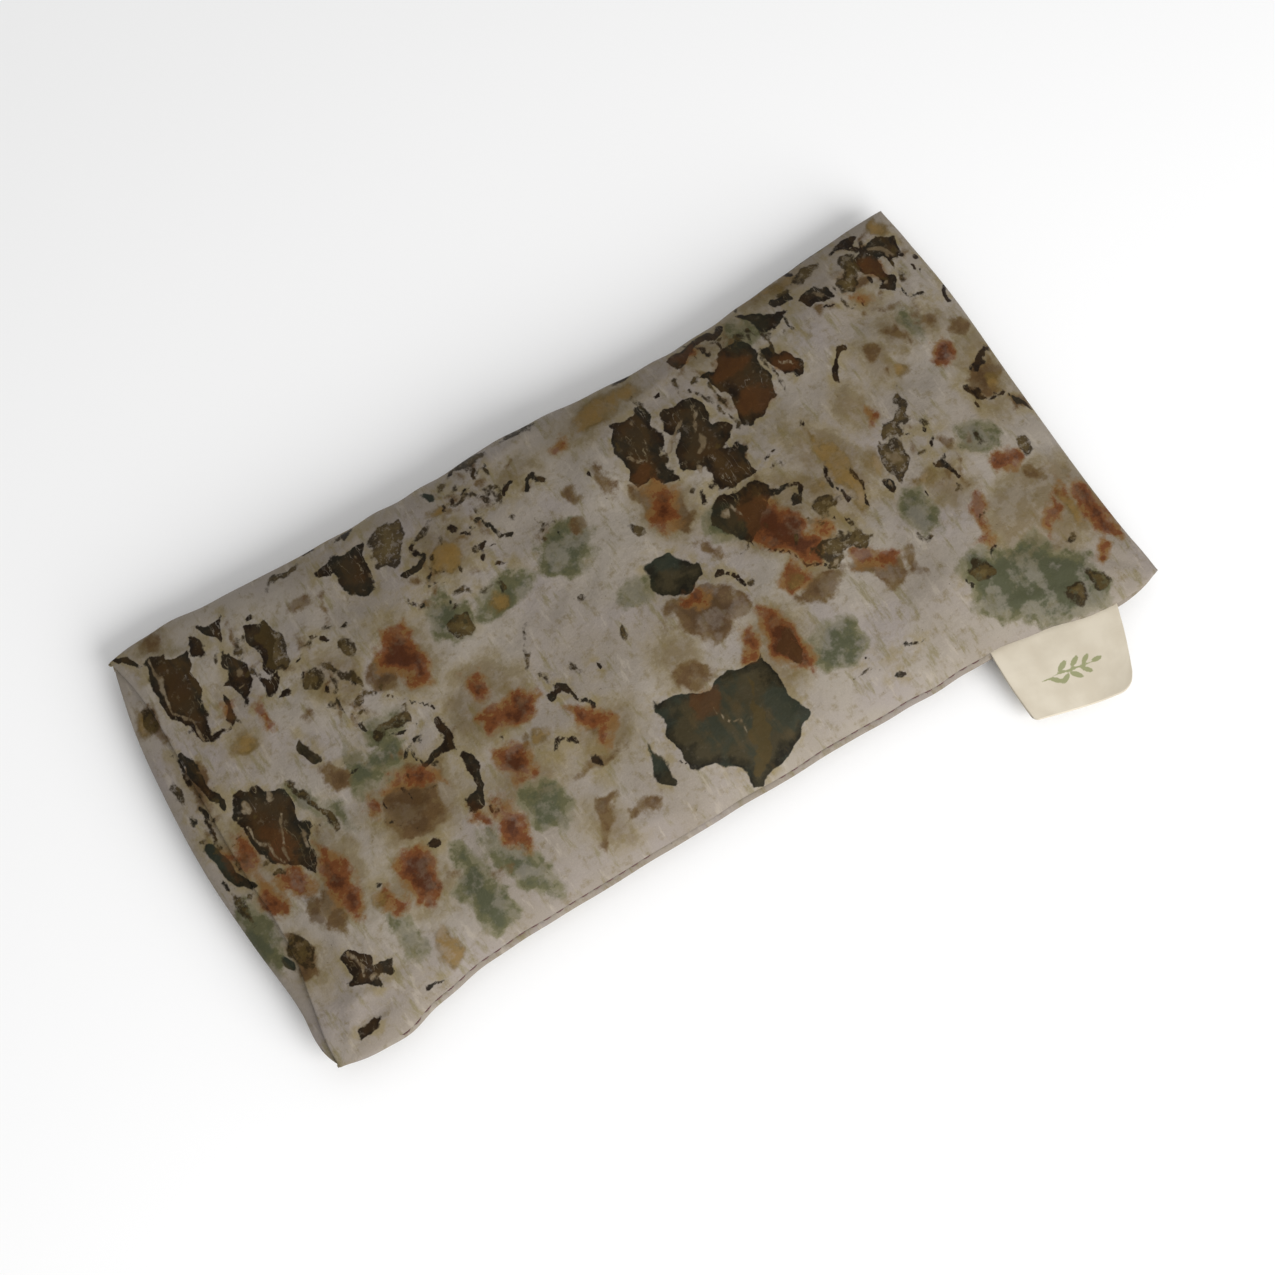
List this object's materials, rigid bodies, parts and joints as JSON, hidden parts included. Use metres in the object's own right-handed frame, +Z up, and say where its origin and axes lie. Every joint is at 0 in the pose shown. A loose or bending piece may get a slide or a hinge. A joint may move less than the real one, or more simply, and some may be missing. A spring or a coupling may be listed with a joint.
{
  "type": "eye pillow",
  "caption": "Printed silk eye pillow: a slip cover with a tuck-in flap over a removable cotton insert of flaxseed and lavender, with a folded label at one seam.",
  "frame": {"origin": "the flat patch that the pillow rests on, below the middle of the cover", "axes": "+X along the pillow from the open end to the closed end, +Y across it away from the label, +Z up"},
  "size_m": [0.2201, 0.1318, 0.022],
  "materials": {
    "printed_silk": "soft satin, printed with ragged leaf shapes",
    "brown_thread": "matte",
    "cotton": "matte plain weave",
    "cream_thread": "matte",
    "flaxseed": "glossy seed",
    "lavender": "dry matte",
    "ribbon": "soft woven ribbon"
  },
  "bodies": {
    "cover": {"cover_front_panel": "printed_silk", "cover_back_panel": "printed_silk", "seam_thread_label_edge": "brown_thread", "seam_thread_plain_edge": "brown_thread", "seam_thread_closed_end": "brown_thread", "label_ends": "ribbon"},
    "tuck_flap": {"cover_tuck_flap": "printed_silk", "flap_hem_thread": "brown_thread"},
    "insert": {"insert_top_panel": "cotton", "insert_bottom_panel": "cotton", "insert_side_threads": "cream_thread", "insert_end_thread": "cream_thread", "insert_closing_thread": "cream_thread", "flaxseed_fill": "flaxseed", "lavender_buds": "lavender"},
    "label": {"label_flap": "ribbon"}
  },
  "joints": [
    {"name": "insert_slide", "type": "slide", "parent": "cover", "child": "insert", "axis": [-1, 0, 0], "range_m": [0, 0.28], "deforming": ["cover_front_panel", "cover_back_panel", "cover_tuck_flap", "flap_hem_thread"]},
    {"name": "flap_open", "type": "hinge", "parent": "cover", "child": "tuck_flap", "pos_m": [-0.109, 0, 0.0077], "axis": [0, -1, 0], "range_deg": [0, 162]},
    {"name": "label_flex", "type": "hinge", "parent": "cover", "child": "label", "pos_m": [0.082, -0.05614, 0.007], "axis": [-1, 0, 0], "range_deg": [-4, 100], "stiffness_Nm_per_rad": 0.0005, "springref_deg": 1.26}
  ],
  "couplings": [
    {"joint": "flap_open", "follows": "insert_slide", "rad_per_m": 10}
  ]
}
